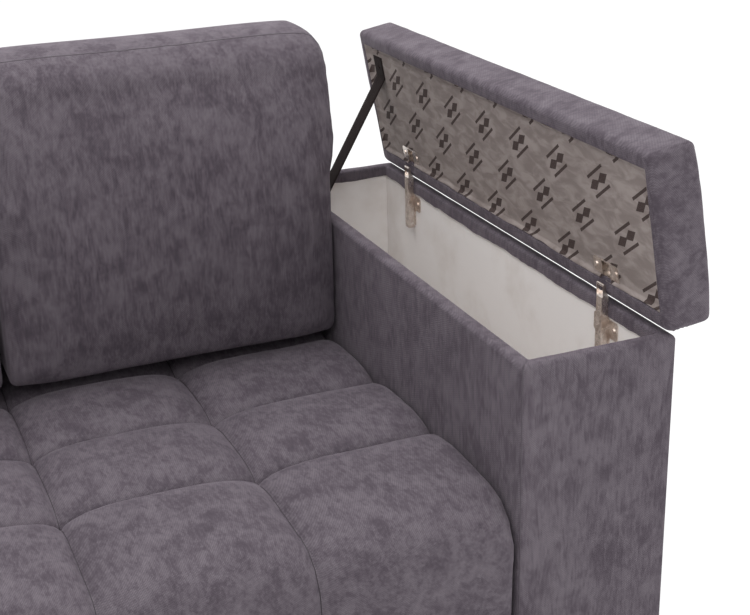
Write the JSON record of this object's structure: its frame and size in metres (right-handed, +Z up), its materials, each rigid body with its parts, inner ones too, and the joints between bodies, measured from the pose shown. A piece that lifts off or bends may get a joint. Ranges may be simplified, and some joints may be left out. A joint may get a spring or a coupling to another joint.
{
  "type": "two-seat sofa with lidded storage boxes in its armrests",
  "caption": "Upholstered two-seat sofa with tufted seat, loose back cushions and armrests whose padded lids hinge outwards over storage boxes.",
  "frame": {"origin": "on the floor, midway between the outer faces of the two arms and midway between front and rear", "axes": "+X along the sofa to the sitter's left-hand arm as drawn on the picture's right, +Y to the back, +Z up"},
  "size_m": [1.5792, 0.915, 0.9302],
  "materials": {
    "velour": "brushed grey velour",
    "laminate": "pale laminated board",
    "nickel": "bright nickel plate",
    "timber": "plain softwood and chipboard",
    "foam": "open-cell upholstery foam, stood in by fabric",
    "lining_cloth": "printed cotton lining",
    "webbing": "woven strap",
    "tack_thread": "sewn thread",
    "foot_plastic": "black moulded plastic",
    "zinc": "zinc plated",
    "spring_steel": "oiled spring wire",
    "felt": "needled felt and dust cloth",
    "hardboard": "thin hardboard"
  },
  "bodies": {
    "sofa": {"arm_outer_panel_right": "laminate", "arm_outer_panel_left": "laminate", "arm_inner_panel_right": "laminate", "arm_inner_panel_left": "laminate", "arm_front_panel_right": "laminate", "arm_front_panel_left": "laminate", "arm_rear_panel_right": "laminate", "arm_rear_panel_left": "laminate", "arm_floor_panel_right": "laminate", "arm_floor_panel_left": "laminate", "arm_cover_right": "velour", "arm_cover_left": "velour", "hinge_plates_right": "nickel", "hinge_plates_left": "nickel", "hinge_plate_screws_right": "nickel", "hinge_plate_screws_left": "nickel", "hinge_arms_right": "nickel", "hinge_arms_left": "nickel", "strap_right": "webbing", "strap_left": "webbing", "strap_wall_tacks": "tack_thread", "arm_base_rails": "timber", "feet": "foot_plastic", "foot_screws": "zinc", "arm_bolts": "zinc", "seat_front_rail": "timber", "seat_spring_rails": "timber", "seat_side_rails": "timber", "seat_centre_rail": "timber", "zigzag_springs": "spring_steel", "spring_clips": "spring_steel", "deck_felt": "felt", "seat_foam": "foam", "seat_pad": "velour", "base_cloth": "felt", "front_cover": "velour", "back_posts": "timber", "back_top_rail": "timber", "back_webbing": "webbing", "back_panel": "hardboard", "back_padding": "foam", "back_cover": "velour", "back_cushion_right": "velour", "back_cushion_left": "velour"},
    "lid_right": {"lid_board_right": "timber", "lid_foam_right": "foam", "lid_cover_right": "velour", "lid_lining_right": "lining_cloth", "hinge_cups_right": "nickel", "hinge_cup_screws_right": "nickel", "strap_lid_tack_right": "tack_thread"},
    "links_right": {"hinge_links_right": "nickel"},
    "lid_left": {"lid_board_left": "timber", "lid_foam_left": "foam", "lid_cover_left": "velour", "lid_lining_left": "lining_cloth", "hinge_cups_left": "nickel", "hinge_cup_screws_left": "nickel", "strap_lid_tack_left": "tack_thread"},
    "links_left": {"hinge_links_left": "nickel"}
  },
  "joints": [
    {"name": "lid_right_turn", "type": "hinge", "parent": "sofa", "child": "lid_right", "pos_m": [0.7625, 0, 0.6462], "axis": [0, 1, 0], "range_deg": [-80.2, 0], "deforming": ["strap_right"]},
    {"name": "lid_left_turn", "type": "hinge", "parent": "sofa", "child": "lid_left", "pos_m": [-0.7625, 0, 0.6462], "axis": [0, -1, 0], "range_deg": [0, 80.2], "deforming": ["strap_left"]},
    {"name": "links_right_turn", "type": "hinge", "parent": "sofa", "child": "links_right", "pos_m": [0.7305, 0, 0.6315], "axis": [0, 1, 0], "range_deg": [0, 88.3]},
    {"name": "links_left_turn", "type": "hinge", "parent": "sofa", "child": "links_left", "pos_m": [-0.7305, 0, 0.6315], "axis": [0, -1, 0], "range_deg": [-88.3, 0]}
  ],
  "couplings": [
    {"joint": "links_right_turn", "follows": "lid_right_turn", "ratio": -1.1},
    {"joint": "links_left_turn", "follows": "lid_left_turn", "ratio": -1.1}
  ]
}
